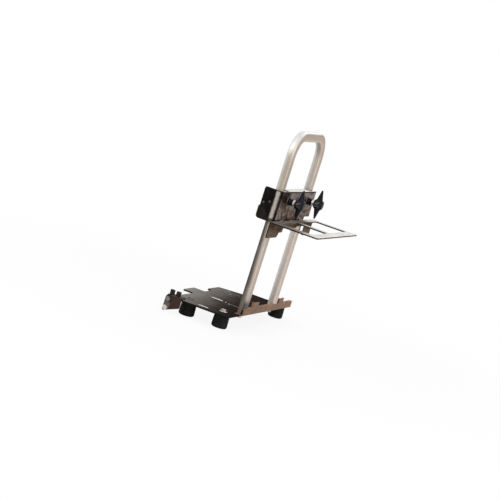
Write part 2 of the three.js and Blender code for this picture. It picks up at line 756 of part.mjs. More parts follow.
// The origin goes to the middle of the whole mill's box, on the floor
const whole = new THREE.Box3().setFromObject(root);
const middle = whole.getCenter(new THREE.Vector3());
root.position.set(-middle.x, -middle.y, -whole.min.z);
root.updateMatrixWorld(true);

export default root;
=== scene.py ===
"""Chainsaw mill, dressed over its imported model.

Lengths are in millimetres from the near leg's outer low corner and the floor, as the mill was set out, with
X towards the guide shelf, Y from the near leg to the far one and Z up. They become metres in the model's
frame when a mesh is made. Only the floor, the lamps, the camera's clip and a noise's scale are in metres.
"""

import json
import math

import bmesh
import bpy
import numpy as np
from mathutils import Matrix, Vector


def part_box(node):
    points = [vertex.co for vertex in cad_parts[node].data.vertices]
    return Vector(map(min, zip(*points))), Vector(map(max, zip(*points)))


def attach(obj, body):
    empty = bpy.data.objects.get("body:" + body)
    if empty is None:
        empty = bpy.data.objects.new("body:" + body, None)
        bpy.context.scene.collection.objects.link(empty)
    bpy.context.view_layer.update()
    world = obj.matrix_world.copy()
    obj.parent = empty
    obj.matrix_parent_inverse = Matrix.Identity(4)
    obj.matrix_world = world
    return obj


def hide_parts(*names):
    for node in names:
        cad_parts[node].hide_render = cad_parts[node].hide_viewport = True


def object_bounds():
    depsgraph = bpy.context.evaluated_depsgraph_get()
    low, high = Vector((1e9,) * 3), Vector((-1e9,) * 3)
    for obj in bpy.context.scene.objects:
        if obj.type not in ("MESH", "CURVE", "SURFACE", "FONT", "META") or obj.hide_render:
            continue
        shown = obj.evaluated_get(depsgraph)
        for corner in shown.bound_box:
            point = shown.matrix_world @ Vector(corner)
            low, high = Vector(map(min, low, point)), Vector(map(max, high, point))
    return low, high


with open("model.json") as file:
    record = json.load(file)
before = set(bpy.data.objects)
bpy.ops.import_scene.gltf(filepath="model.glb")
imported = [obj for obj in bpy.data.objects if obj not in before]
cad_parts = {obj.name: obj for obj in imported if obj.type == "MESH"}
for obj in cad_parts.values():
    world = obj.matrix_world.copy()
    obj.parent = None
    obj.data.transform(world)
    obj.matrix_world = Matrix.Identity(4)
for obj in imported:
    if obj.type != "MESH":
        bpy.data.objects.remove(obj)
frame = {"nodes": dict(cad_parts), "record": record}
cad_low, cad_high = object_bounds()

MM = 0.001
EAST, NORTH, UP = 0, 1, 2
bow_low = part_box("bow")[0]
LEG_CORNER = np.array([bow_low.x, bow_low.y, 0.0])

# Sizes of the mill
SHEET = 3.0
PLATE_TOP = 32.5
PLATE_UNDER = PLATE_TOP - SHEET
SHELF_TOP = 234.5
SHELF_UNDER = SHELF_TOP - SHEET
TUBE_WIDTH = 16.0
TUBE_DEPTH = 20.0
TUBE_CORNER = 5.0
BOW_SPAN = 211.0
BOW_TOP = 418.0
BOW_BEND = 56.0
NOTCH_HEIGHT = 14.3
NOTCH_DEPTH = 6.6
WEB_FACE = 21.4
FLANGE_FACE = -5.4
LUG_FACE = -75.3
JAW_BACK = -8.3
KNOB_HEIGHT = 276.0
KNOB_PLANE = 47.4
KNOB_ACROSS = {"near": 40.0, "far": 171.0}
CLAMP_WASHER = 1.6
LUG_HEX = 5.2
RAIL_SHEET = 1.5

# How meshes are finished: angles in degrees, distances within which points become one, shares of a
# hexagon's radius, and a thread's rings to each pitch
SMOOTH_ANGLE = 32.0
BROKEN_ANGLE = 28.0
HEX_ANGLE = 24.0
FLAT_ANGLE = 0.4
RING_JOIN = 0.0001
SOLID_JOIN = 0.002
HEX_SHARE = 0.985
CHAMFER_SHARE = 0.97
STEPS_A_PITCH = 8

# Camera: its angles come from the vanishing points of the legs, the shelf and the rail
FOCAL_PIXELS = 2043.9
FRAME_PIXELS = 500
SENSOR = 36.0
CAMERA_TURN = math.radians(17.01)
CAMERA_RISE = math.radians(7.46)
CAMERA_ROLL = math.radians(17.44)
CAMERA_PLACE = np.array([1171.2, -3866.2, 692.3])
CAMERA_CLIP = 50.0


def make_camera():
    """The camera's axes: level right and up, turned together by the roll about the line of sight."""
    back = np.array([
        math.sin(CAMERA_TURN) * math.cos(CAMERA_RISE),
        -math.cos(CAMERA_TURN) * math.cos(CAMERA_RISE),
        math.sin(CAMERA_RISE),
    ])
    level = np.array([math.cos(CAMERA_TURN), math.sin(CAMERA_TURN), 0.0])
    upright = np.cross(back, level)
    right = math.cos(CAMERA_ROLL) * level + math.sin(CAMERA_ROLL) * upright
    up = math.cos(CAMERA_ROLL) * upright - math.sin(CAMERA_ROLL) * level
    place = LEG_CORNER + CAMERA_PLACE * MM
    data = bpy.data.cameras.new("photo_camera")
    data.sensor_width = SENSOR
    data.lens = FOCAL_PIXELS / FRAME_PIXELS * SENSOR
    data.clip_end = CAMERA_CLIP
    camera = bpy.data.objects.new("photo_camera", data)
    camera.matrix_world = Matrix([
        [right[0], up[0], back[0], place[0]],
        [right[1], up[1], back[1], place[1]],
        [right[2], up[2], back[2], place[2]],
        [0.0, 0.0, 0.0, 1.0],
    ])
    bpy.context.scene.collection.objects.link(camera)
    bpy.context.scene.camera = camera


# Shader sums

class Wire:
    """A node's output. Sums, products and quotients of wires and numbers add Math nodes."""

    def __init__(self, graph, output):
        self.graph = graph
        self.output = output

    def _sum(self, operation, *values):
        return self.graph.node("ShaderNodeMath", {"operation": operation}, dict(enumerate(values)))

    def __add__(self, other):
        return self._sum("ADD", self, other)

    def __sub__(self, other):
        return self._sum("SUBTRACT", self, other)

    def __rsub__(self, other):
        return self._sum("SUBTRACT", other, self)

    def __mul__(self, other):
        return self._sum("MULTIPLY", self, other)

    def __truediv__(self, other):
        return self._sum("DIVIDE", self, other)

    def __abs__(self):
        return self._sum("ABSOLUTE", self)

    def highest(self, other):
        return self._sum("MAXIMUM", self, other)

    def lowest(self, other):
        return self._sum("MINIMUM", self, other)

    def ramp(self, low, high):
        """0 up to low, 1 from high on, and a smooth step between them."""
        return self.graph.node(
            "ShaderNodeMapRange",
            {"interpolation_type": "SMOOTHSTEP"},
            {"Value": self, "From Min": low, "From Max": high},
        )

    def fall(self, low, high):
        """1 up to low, 0 from high on, and a smooth step between them."""
        return 1.0 - self.ramp(low, high)

    __radd__ = __add__
    __rmul__ = __mul__


class Graph:
    """The nodes of one material or of the world."""

    def __init__(self, tree):
        self.tree = tree

    def node(self, kind, settings=None, values=None, output=0, stops=None):
        """Adds a node: its settings, then its ramp's stops, then the values or links of its sockets."""
        node = self.tree.nodes.new(kind)
        for name, value in (settings or {}).items():
            setattr(node, name, value)
        if stops:
            elements = node.color_ramp.elements
            while len(elements) < len(stops):
                elements.new(0.5)
            for element, (place, color) in zip(elements, stops):
                element.position = place
                element.color = (*color, 1.0)
        for name, value in (values or {}).items():
            socket = node.inputs[name]
            if isinstance(value, Wire):
                self.tree.links.new(value.output, socket)
            elif socket.type == "RGBA" and len(value) == 3:
                socket.default_value = (*value, 1.0)
            else:
                socket.default_value = value
        return Wire(self, node.outputs[output])

    def feed(self, node, **wires):
        """Links wires to a node that is already there. In a socket's name, _ stands for a space."""
        for socket, wire in wires.items():
            self.tree.links.new(wire.output, node.inputs[socket.replace("_", " ")])

    def place(self):
        """Where a point of the surface is, in the model's frame, in metres."""
        return self.node("ShaderNodeTexCoord", output="Object")

    def facing(self):
        """The direction that a point of the surface faces."""
        return self.node("ShaderNodeNewGeometry", output="Normal")

    def axis(self, vector, index):
        return self.node("ShaderNodeSeparateXYZ", values={0: vector}, output=index)

    def from_leg(self, place, index):
        """How far a point lies from the near leg's low corner along one axis, in millimetres."""
        return (self.axis(place, index) - LEG_CORNER[index]) / MM

    def noise(self, vector, scale, stretch=(1.0, 1.0, 1.0), detail=3.0, rough=0.55, twist=0.0):
        """Noise of so many waves a metre, stretched along the axes by the inverse of the given numbers."""
        mapped = self.node("ShaderNodeMapping", values={"Vector": vector, "Scale": stretch})
        return self.node("ShaderNodeTexNoise", values={
            "Vector": mapped, "Scale": scale, "Detail": detail, "Roughness": rough, "Distortion": twist})

    def scratches(self, place):
        """Fine lines along Y and along X: 1 in a line and 0 beside it."""
        long = self.noise(place, 60.0, stretch=(1.0, 0.06, 1.0), detail=5.0, rough=0.75).ramp(0.63, 0.66)
        cross = self.noise(place, 75.0, stretch=(0.05, 1.0, 1.0), detail=5.0, rough=0.75).ramp(0.65, 0.675)
        return long + cross

    def mix(self, factor, first, second):
        return self.node(
            "ShaderNodeMix", {"data_type": "RGBA"}, {0: factor, 6: first, 7: second}, output=2)

    def shades(self, factor, *stops):
        """A ramp of colours over a factor. Each stop is a place from 0 to 1 and its colour."""
        return self.node("ShaderNodeValToRGB", values={"Fac": factor}, stops=stops)

    def bump(self, height, depth, under=None):
        """A bump so many millimetres deep, over another where one is given."""
        values = {"Height": height, "Distance": depth * MM, "Strength": 1.0}
        if under is not None:
            values["Normal"] = under
        return self.node("ShaderNodeBump", values=values)

    def worn_edge(self, radius=0.6):
        """1 on an edge and 0 on a flat: how far the rounded normal leans from the true one."""
        rounded = self.node("ShaderNodeBevel", {"samples": 4}, {"Radius": radius * MM})
        normals = {0: rounded, 1: self.facing()}
        agreement = self.node("ShaderNodeVectorMath", {"operation": "DOT_PRODUCT"}, normals, output="Value")
        return (1.0 - agreement).ramp(0.02, 0.2)


def finish(name, **constant):
    """A material, its graph, and its shader, which gets the numbers that are the same all over."""
    material = bpy.data.materials.new(name)
    material.use_nodes = True
    shader = material.node_tree.nodes["Principled BSDF"]
    for socket, value in constant.items():
        shader.inputs[socket.replace("_", " ")].default_value = value
    return material, Graph(material.node_tree), shader


def bow_steel():
    """Satin tube, brushed along its length, with painted reflection across it: pale on its west side and
    tan on its east side, and a painted highlight on faces that look up.

    Below the carriage the near leg has a painted dark reflection, darkest towards the west, and is browner
    and darker on its foot, and above the carriage it is a little yellow. The far leg is a little pink low
    down. The carriage has rubbed streaks along both legs.
    """
    metal = 0.8
    material, graph, shader = finish("bow_satin", Metallic=metal, Specular_IOR_Level=0.05)
    along = graph.node("ShaderNodeUVMap", {"uv_map": "along"})
    place = graph.place()
    brushing = graph.noise(along, 900.0, stretch=(1.0, 0.03, 1.0), detail=4.0, rough=0.7)
    cloud = graph.noise(place, 22.0, detail=4.0)
    speck = graph.noise(place, 700.0, detail=2.0).ramp(0.66, 0.74)
    up = graph.from_leg(place, UP)
    across = graph.from_leg(place, EAST) / TUBE_WIDTH
    # Painted reflection across the tube: pale on the west side, darker in the middle and tan on the east
    # side.
    painted_reflection_tone = graph.shades(
        across + (cloud - 0.5) * 0.25,
        (0.02, (0.85, 0.84, 0.83)), (0.2, (0.57, 0.545, 0.52)), (0.45, (0.42, 0.38, 0.33)),
        (0.75, (0.48, 0.405, 0.34)), (0.97, (0.7, 0.57, 0.48)))
    # Painted dark reflection on the near leg below the carriage, darkest towards the west.
    dark_reflection_reach = across + (cloud - 0.5) * 0.12 + (up - 100.0) * 0.0011 + up.fall(86.0, 104.0) * 0.08
    painted_dark_reflection = graph.shades(
        dark_reflection_reach,
        (0.1, (0.012, 0.01, 0.009)), (0.3, (0.04, 0.034, 0.03)), (0.5, (0.125, 0.105, 0.09)),
        (0.62, (0.27, 0.225, 0.19)), (0.72, (0.46, 0.385, 0.325)), (0.95, (0.61, 0.505, 0.43)))
    near_side = graph.from_leg(place, NORTH).fall(18.0, 21.0)
    above = up.ramp(225.0, 250.0)
    near_leg = near_side * (1.0 - above)
    pinkish = (1.0 - near_side) * up.fall(200.0, 300.0) * 0.18
    painted_reflection_tone = graph.mix(pinkish, painted_reflection_tone, (0.85, 0.74, 0.72))
    yellowed = near_side * above * up.fall(340.0, 370.0) * across.ramp(0.35, 0.65) * 0.28
    painted_reflection_tone = graph.mix(yellowed, painted_reflection_tone, (0.22, 0.215, 0.11))
    tone = graph.mix(near_leg, painted_reflection_tone, painted_dark_reflection)
    # Low on the near leg it is browner, and on the foot's east side darker still.
    tone = graph.mix(near_leg * up.fall(40.0, 100.0) * 0.5, tone, (0.2, 0.15, 0.125))
    foot_darkening = near_leg * up.fall(54.0, 70.0) * across.ramp(0.4, 0.65) * 0.9
    tone = graph.mix(foot_darkening, tone, (0.05, 0.03, 0.022))
    # Where the dark reflection is painted, the tube is also less metallic.
    dark_reflection_mask = near_leg * dark_reflection_reach.fall(0.45, 0.65)
    # Painted highlight: faces that look up are pale.
    painted_top_highlight = graph.axis(graph.facing(), UP).ramp(0.05, 0.75)
    tone = graph.mix(painted_top_highlight, tone, (0.68, 0.68, 0.67))
    travel = up.ramp(70.0, 120.0) * up.fall(330.0, 360.0)
    rub = travel * graph.noise(along, 260.0, stretch=(1.0, 0.01, 1.0), rough=0.6).ramp(0.5, 0.62)
    tone = graph.mix(brushing.ramp(0.3, 0.75) * 0.2, tone, (0.66, 0.63, 0.59))
    tone = graph.mix(rub * across.ramp(0.6, 1.0) * 0.3, tone, (0.72, 0.62, 0.53))
    tone = graph.mix(speck * 0.4, tone, (0.2, 0.16, 0.13))
    roughness = 0.4 + brushing * 0.16 - rub * 0.06 + speck * 0.1 + painted_top_highlight * 0.14
    normal = graph.bump(brushing, 0.03, graph.bump(cloud, 0.2))
    graph.feed(shader, Base_Color=tone, Roughness=roughness, Normal=normal, Metallic=metal - dark_reflection_mask * metal)
    return material


def base_steel():
    """Blackened plate, with painted light and shade: grey towards the west and black towards the bow and
    the north.

    Its sides are black, but those round the saddle are plain metal, with a painted highlight in the middle
    of their length.
    """
    material, graph, shader = finish("base_black", Metallic=0.0, Specular_IOR_Level=0.0)
    place = graph.place()
    cloud = graph.noise(place, 26.0, detail=5.0, twist=0.4)
    fine = graph.noise(place, 520.0, detail=4.0, rough=0.65)
    scratches = graph.scratches(place)
    east = graph.from_leg(place, EAST)
    north = graph.from_leg(place, NORTH)
    # Painted light and shade: grey towards the west, black towards the bow and the north.
    tone = graph.shades(
        (east + north * 0.13 + (cloud - 0.5) * 45.0) / 160.0 + 0.9,
        (0.05, (0.3, 0.285, 0.27)), (0.3, (0.205, 0.19, 0.175)), (0.46, (0.125, 0.11, 0.1)),
        (0.6, (0.06, 0.05, 0.044)), (0.74, (0.026, 0.019, 0.016)), (1.0, (0.016, 0.012, 0.011)))
    tone = graph.mix((fine - 0.5) * 0.2 + 0.02, tone, (0.3, 0.28, 0.26))
    tone = graph.mix(scratches * 0.14, tone, (0.42, 0.4, 0.37))
    tone = graph.mix(graph.worn_edge() * 0.35, tone, (0.3, 0.27, 0.24))
    side = abs(graph.axis(graph.facing(), UP)).fall(0.2, 0.5)
    tone = graph.mix(side, tone, (0.012, 0.01, 0.009))
    saddle = side * abs(east + 59.0).fall(43.0, 46.0) * north.ramp(-69.0, -66.0)
    # Painted highlight along the middle of the saddle's sides.
    bright = east.ramp(-92.0, -84.0) * east.fall(-46.0, -42.0) * north.fall(120.0, 150.0)
    tone = graph.mix(saddle, tone, graph.mix(bright, (0.2, 0.18, 0.17), (0.98, 0.97, 0.95)))
    roughness = 0.5 + fine * 0.2 + cloud * 0.12 - scratches * 0.05
    normal = graph.bump(fine, 0.04, graph.bump(cloud, 0.3))
    graph.feed(shader, Base_Color=tone, Roughness=roughness, Normal=normal)
    return material


def sheet_steel(name, dark, light, rub, cut_edge, scale, shine, grain=(1.0, 1.0, 1.0)):
    """Rolled and oiled sheet: clouds, fine grain, a few scratches, and cut edges of their own tone."""
    material, graph, shader = finish(name, Metallic=0.8, Specular_IOR_Level=0.2)
    place = graph.place()
    cloud = graph.noise(place, scale, detail=5.0, twist=0.4)
    fine = graph.noise(place, 520.0, stretch=grain, detail=4.0, rough=0.65)
    scratches = graph.scratches(place)
    tone = graph.mix(cloud.ramp(0.32, 0.7), dark, light)
    tone = graph.mix((fine - 0.5) * 0.6 + 0.2, tone, light)
    tone = graph.mix(scratches * 0.3, tone, rub)
    tone = graph.mix(graph.worn_edge() * 0.6, tone, cut_edge)
    roughness = shine + fine * 0.2 + cloud * 0.12 - scratches * 0.05
    normal = graph.bump(fine, 0.04, graph.bump(cloud, 0.3))
    graph.feed(shader, Base_Color=tone, Roughness=roughness, Normal=normal)
    return material


def bracket_steel():
    """Polished sheet with painted reflections: black on the flange by a painted dark reflection, pale where
    it bends by a painted highlight, and brown on the web with a wavy painted reflection.

    The web has a painted dark reflection round the near knob and a painted highlight along its crest past
    it.
    The sheet's top rim is dark and painted shade darkens its bottom rim where it meets the shelf, and faces
    that look up, the top of its turned-over lip among them, are pale with a painted highlight.
    """
    metal = 0.85
    material, graph, shader = finish("bracket_polish", Metallic=metal, Specular_Tint=(0.4, 0.35, 0.32, 1.0))
    place = graph.place()
    facing = graph.facing()
    up = graph.from_leg(place, UP)
    north = graph.from_leg(place, NORTH)
    wave = graph.noise(place, 34.0, stretch=(1.0, 1.0, 0.8), rough=0.5, twist=1.6)
    grime = graph.noise(place, 120.0, detail=5.0, rough=0.7)
    fine = graph.noise(place, 800.0, detail=2.0)
    patch = graph.noise(place, 95.0, stretch=(1.0, 1.0, 1.2), twist=1.2)
    # Painted reflection on the web: brown, pale and dark patches in waves.
    web = graph.shades(
        patch + (wave - 0.5) * 0.5,
        (0.4, (0.08, 0.058, 0.046)), (0.46, (0.17, 0.128, 0.103)), (0.51, (0.3, 0.24, 0.2)),
        (0.57, (0.42, 0.35, 0.305)), (0.66, (0.56, 0.49, 0.45)))
    # Painted dark reflection round the near knob.
    knob_dark_reflection = north.fall(30.0, 56.0) * up.ramp(257.0, 268.0) * (1.0 - patch.ramp(0.6, 0.7) * 0.6)
    web = graph.mix(knob_dark_reflection * 0.75, web, (0.03, 0.021, 0.018))
    # Painted highlight along the web's crest past the near knob.
    crest = up.ramp(275.0, 285.0) * up.fall(291.0, 293.5) * patch.ramp(0.33, 0.47) * north.ramp(40.0, 60.0)
    web = graph.mix(crest * 0.8, web, (0.55, 0.48, 0.47))
    # Painted dark reflection: the flange is near black.
    flange = graph.mix(wave.ramp(0.3, 0.75), (0.006, 0.005, 0.005), (0.025, 0.02, 0.018))
    tone = graph.mix(abs(graph.axis(facing, EAST)).ramp(0.75, 0.94), flange, web)
    # Painted highlight over the bend.
    across = graph.from_leg(place, EAST) + (patch - 0.5) * 3.0
    bend = across.ramp(5.0, 9.0) * across.fall(12.5, 16.5) * graph.axis(facing, NORTH).fall(-0.2, 0.0)
    tone = graph.mix(bend, tone, (0.46, 0.42, 0.36))
    # The top rim is darker, and painted shade darkens the bottom rim where the web meets the shelf.
    rims = up.ramp(292.5, 293.5) + up.fall(236.2, 238.0)
    tone = graph.mix(rims.lowest(1.0) * 0.85, tone, (0.02, 0.016, 0.014))
    # Painted highlight: faces that look up are pale and not metallic.
    upward_highlight = graph.axis(facing, UP).ramp(0.6, 0.9)
    tone = graph.mix(upward_highlight, tone, (0.95, 0.95, 0.94))
    tone = graph.mix(graph.worn_edge() * 0.3, tone, (0.4, 0.37, 0.33))
    roughness = 0.2 + grime * 0.2 + fine * 0.08
    normal = graph.bump(wave, 1.2, graph.bump(fine, 0.02))
    graph.feed(shader, Base_Color=tone, Roughness=roughness, Normal=normal, Metallic=metal - upward_highlight * metal)
    return material


def shelf_steel():
    """Bright sheet, toned by facing as a painted reflection: its flat faces are brushed pale, and its ears
    and edges are brown, near black where they face south.

    A brown patch reaches east from the root, a painted reflection of the bracket's web; it reaches further
    along the front edge and leaves the far bar clear.
    """
    metal = 0.75
    material, graph, shader = finish("shelf_bright", Metallic=metal, Specular_IOR_Level=0.0)
    place = graph.place()
    facing = graph.facing()
    north = graph.from_leg(place, NORTH)
    # Toned by facing, a painted reflection: faces that lie flat are pale and metallic, the rest brown.
    flat = abs(graph.axis(facing, UP)).ramp(0.3, 0.8)
    brushing = graph.noise(place, 420.0, stretch=(1.0, 0.04, 1.0), detail=4.0, rough=0.7)
    cloud = graph.noise(place, 24.0, detail=4.0)
    patch = graph.noise(place, 90.0, stretch=(1.0, 0.6, 1.0), rough=0.5, twist=0.6)
    low = graph.from_leg(place, UP).fall(204.0, 222.0)
    edge = graph.mix((cloud + low * 0.3).ramp(0.35, 0.75), (0.07, 0.046, 0.022), (0.17, 0.12, 0.09))
    edge = graph.mix(graph.axis(facing, NORTH).fall(-0.8, -0.5), edge, (0.014, 0.011, 0.009))
    # Painted reflection of the bracket's web: brown from the root eastwards, reaching further along the
    # front edge.
    front = north.fall(-9.0, -7.0)
    clear = north.ramp(170.0, 192.0)
    reach = graph.from_leg(place, EAST) + clear * 60.0 - front * 50.0 + (patch - 0.5) * 20.0
    web_reflection_tone = graph.mix(patch.ramp(0.35, 0.65), (0.13, 0.105, 0.09), (0.26, 0.225, 0.2))
    pale = graph.mix(cloud.ramp(0.35, 0.7), (0.76, 0.755, 0.745), (0.89, 0.89, 0.88))
    pale = graph.mix(reach.fall(38.0, 53.0) * 0.88, pale, web_reflection_tone)
    tone = graph.mix(flat, edge, pale)
    smear = graph.noise(place, 160.0, detail=5.0).ramp(0.6, 0.75)
    tone = graph.mix(smear * 0.3, tone, (0.35, 0.3, 0.26))
    roughness = 0.26 + brushing * 0.25
    normal = graph.bump(brushing, 0.04)
    graph.feed(shader, Base_Color=tone, Roughness=roughness, Normal=normal, Metallic=flat * metal)
    return material


def lug_steel():
    """Oily steel: brown towards its outer end, a dark red towards the plate, and black at the outer top."""
    material, graph, shader = finish("lug_brown", Metallic=0.2, Specular_IOR_Level=0.3)
    low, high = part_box("end_lug")
    place = graph.place()
    cloud = graph.noise(place, 90.0, detail=4.0)
    fine = graph.noise(place, 520.0, detail=4.0)
    across = (graph.axis(place, EAST) - low.x) / (high.x - low.x) + (cloud - 0.5) * 0.15
    up = (graph.axis(place, UP) - low.z) / (high.z - low.z) + (cloud - 0.5) * 0.2
    tone = graph.mix(cloud.ramp(0.35, 0.65), (0.11, 0.07, 0.052), (0.17, 0.115, 0.088))
    tone = graph.mix(up.ramp(0.5, 0.62), tone, (0.014, 0.012, 0.009))
    tone = graph.mix(across.ramp(0.34, 0.42), tone, (0.035, 0.014, 0.01))
    tone = graph.mix(graph.worn_edge() * 0.4, tone, (0.3, 0.24, 0.19))
    normal = graph.bump(fine, 0.05, graph.bump(cloud, 0.3))
    graph.feed(shader, Base_Color=tone, Roughness=0.36 + fine * 0.25, Normal=normal)
    return material


def zinc_steel():
    """Zinc plate: a pale metal with a faint warm and cold bloom, grimy in spots."""
    material, graph, shader = finish("zinc_plate", Metallic=0.9)
    place = graph.place()
    bloom = graph.noise(place, 180.0)
    fine = graph.noise(place, 1500.0, detail=2.0)
    grime = graph.noise(place, 420.0, detail=4.0).ramp(0.58, 0.72)
    tone = graph.mix(bloom.ramp(0.35, 0.65), (0.56, 0.53, 0.45), (0.66, 0.68, 0.7))
    tone = graph.mix(grime * 0.6, tone, (0.24, 0.21, 0.18))
    graph.feed(shader, Base_Color=tone, Roughness=0.28 + fine * 0.2, Normal=graph.bump(fine, 0.03))
    return material


def foot_rubber():
    """Moulded rubber: near black, dulled by dust low on the tread."""
    material, graph, shader = finish("buffer_rubber", Metallic=0.0, Specular_IOR_Level=0.25)
    place = graph.place()
    dust = graph.noise(place, 90.0, detail=5.0, rough=0.65)
    pores = graph.noise(place, 1400.0)
    low = graph.from_leg(place, UP).fall(0.0, 12.0)
    dusty = dust.ramp(0.45, 0.8) * (0.25 + low * 0.5)
    tone = graph.mix(dusty, (0.006, 0.0055, 0.005), (0.05, 0.045, 0.04))
    normal = graph.bump(pores, 0.08, graph.bump(dust, 0.2))
    graph.feed(shader, Base_Color=tone, Roughness=0.62 + dust * 0.25, Normal=normal)
    return material


def knob_plastic():
    """Moulded knob: black with a faint violet cast and a fine moulded skin."""
    material, graph, shader = finish("knob_black", Metallic=0.0, Specular_IOR_Level=0.1)
    place = graph.place()
    cast = graph.noise(place, 40.0, detail=2.0)
    pores = graph.noise(place, 1100.0)
    tone = graph.mix(cast.ramp(0.35, 0.65), (0.005, 0.004, 0.005), (0.014, 0.011, 0.018))
    tone = graph.mix(graph.worn_edge(0.8) * 0.2, tone, (0.12, 0.11, 0.13))
    graph.feed(shader, Base_Color=tone, Roughness=0.2 + pores * 0.18, Normal=graph.bump(pores, 0.04))
    return material


def pad_nylon():
    """Slide nylon: off-white, smeared grey where it runs."""
    material, graph, shader = finish("slide_nylon", Metallic=0.0)
    smear = graph.noise(graph.place(), 140.0, stretch=(1.0, 1.0, 0.15), detail=4.0, rough=0.7)
    tone = graph.mix(smear.ramp(0.5, 0.7), (0.68, 0.65, 0.58), (0.34, 0.32, 0.29))
    graph.feed(shader, Base_Color=tone, Roughness=0.45 + smear * 0.2, Normal=graph.bump(smear, 0.06))
    return material


def weld_steel():
    """Weld: blue-brown heat tint and a scaly skin."""
    material, graph, shader = finish("weld_scale", Metallic=0.8)
    tint = graph.noise(graph.place(), 260.0)
    tone = graph.shades(
        tint, (0.35, (0.12, 0.09, 0.07)), (0.5, (0.3, 0.24, 0.17)), (0.62, (0.2, 0.2, 0.27)))
    graph.feed(shader, Base_Color=tone, Roughness=0.35 + tint * 0.25, Normal=graph.bump(tint, 0.1))
    return material


FINISHES = {
    "bow_steel": bow_steel(),
    "base_steel": base_steel(),
    "rail_steel": sheet_steel(
        "rail_warm", dark=(0.19, 0.105, 0.06), light=(0.34, 0.2, 0.125), rub=(0.5, 0.38, 0.29),
        cut_edge=(0.42, 0.31, 0.23), scale=34.0, shine=0.34, grain=(1.0, 0.05, 1.0)),
    "lug_steel": lug_steel(),
    "jaw_steel": sheet_steel(
        "jaw_sawn", dark=(0.1, 0.085, 0.07), light=(0.22, 0.19, 0.165), rub=(0.45, 0.42, 0.38),
        cut_edge=(0.42, 0.39, 0.35), scale=60.0, shine=0.34, grain=(1.0, 1.0, 0.05)),
    "bracket_steel": bracket_steel(),
    "shelf_steel": shelf_steel(),
    "zinc_steel": zinc_steel(),
    "foot_rubber": foot_rubber(),
    "knob_plastic": knob_plastic(),
    "pad_nylon": pad_nylon(),
    "weld": weld_steel(),
    "black_bolt": sheet_steel(
        "bolt_black", dark=(0.012, 0.011, 0.01), light=(0.05, 0.045, 0.04), rub=(0.12, 0.11, 0.1),
        cut_edge=(0.16, 0.15, 0.14), scale=90.0, shine=0.36),
    "dull_bolt": sheet_steel(
        "bolt_dull", dark=(0.12, 0.115, 0.105), light=(0.27, 0.26, 0.24), rub=(0.4, 0.39, 0.37),
        cut_edge=(0.4, 0.39, 0.37), scale=120.0, shine=0.42),
    "dark_rivet": sheet_steel(
        "rivet_grey", dark=(0.04, 0.04, 0.038), light=(0.1, 0.1, 0.095), rub=(0.16, 0.16, 0.15),
        cut_edge=(0.16, 0.16, 0.15), scale=200.0, shine=0.45),
}
NODE_SLOT = {part["node"]: part["material_slot"] for part in frame["record"]["subparts"]}
NODE_BODY = {node: body for body, nodes in frame["record"]["behaviour"]["bodies"].items() for node in nodes}


# Making pieces

def dress(obj, node, look=None, stands_in=True):
    """Gives a piece the given look or else its node's finish, puts it in the body of the node that it
    stands for or sits on, and hides that node where the piece stands in for it.
    """
    obj.data.materials.clear()
    obj.data.materials.append(FINISHES[look or NODE_SLOT[node]])
    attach(obj, NODE_BODY[node])
    if stands_in:
        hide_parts(node)
    return obj


def shade(mesh, angle):
    """Smooth faces, with a sharp edge wherever two of them meet at more than the angle."""
    mesh.polygons.foreach_set("use_smooth", np.ones(len(mesh.polygons), bool))
    mesh.set_sharp_from_angle(angle=math.radians(angle))


def skin(name, rings, node, look=None, stands_in=True, closed=False, uv=None, angle=SMOOTH_ANGLE):
    """A closed skin over rings of points, in millimetres.

    Each ring's last point meets its first. Where the rings close on themselves, the last ring meets the
    first, and otherwise each end is closed by triangles to the middle of its ring.
    """
    rings = np.asarray(rings, float)
    count, width = rings.shape[:2]
    row, column = np.meshgrid(np.arange(count if closed else count - 1), np.arange(width), indexing="ij")
    beyond, beside = (row + 1) % count, (column + 1) % width
    quads = np.stack([
        row * width + column, row * width + beside, beyond * width + beside, beyond * width + column,
    ], axis=-1).reshape(-1, 4)
    points = rings.reshape(-1, 3)
    faces = quads.tolist()
    if not closed:
        points = np.vstack([points, rings[0].mean(0), rings[-1].mean(0)])
        first = np.arange(width)
        after = (first + 1) % width
        start = np.stack([after, first, np.full(width, count * width)], axis=-1)
        last = (count - 1) * width
        end = np.stack([first + last, after + last, np.full(width, count * width + 1)], axis=-1)
        faces += start.tolist() + end.tolist()
    mesh = bpy.data.meshes.new(name)
    mesh.from_pydata((points * MM + LEG_CORNER).tolist(), [], faces)
    if uv is not None:
        across, along = uv
        corners = np.stack([
            np.stack([across[column], along[row]], -1),
            np.stack([across[column + 1], along[row]], -1),
            np.stack([across[column + 1], along[row + 1]], -1),
            np.stack([across[column], along[row + 1]], -1),
        ], axis=2).reshape(-1, 2)
        values = np.zeros((len(mesh.loops), 2), np.float32)
        values[:len(corners)] = corners
        mesh.uv_layers.new(name="along").uv.foreach_set("vector", values.ravel())
    solid = bmesh.new()
    solid.from_mesh(mesh)
    bmesh.ops.remove_doubles(solid, verts=solid.verts, dist=RING_JOIN * MM)
    bmesh.ops.recalc_face_normals(solid, faces=solid.faces)
    solid.to_mesh(mesh)
    solid.free()
    shade(mesh, angle)
    obj = bpy.data.objects.new(name, mesh)
    bpy.context.scene.collection.objects.link(obj)
    return dress(obj, node, look, stands_in)


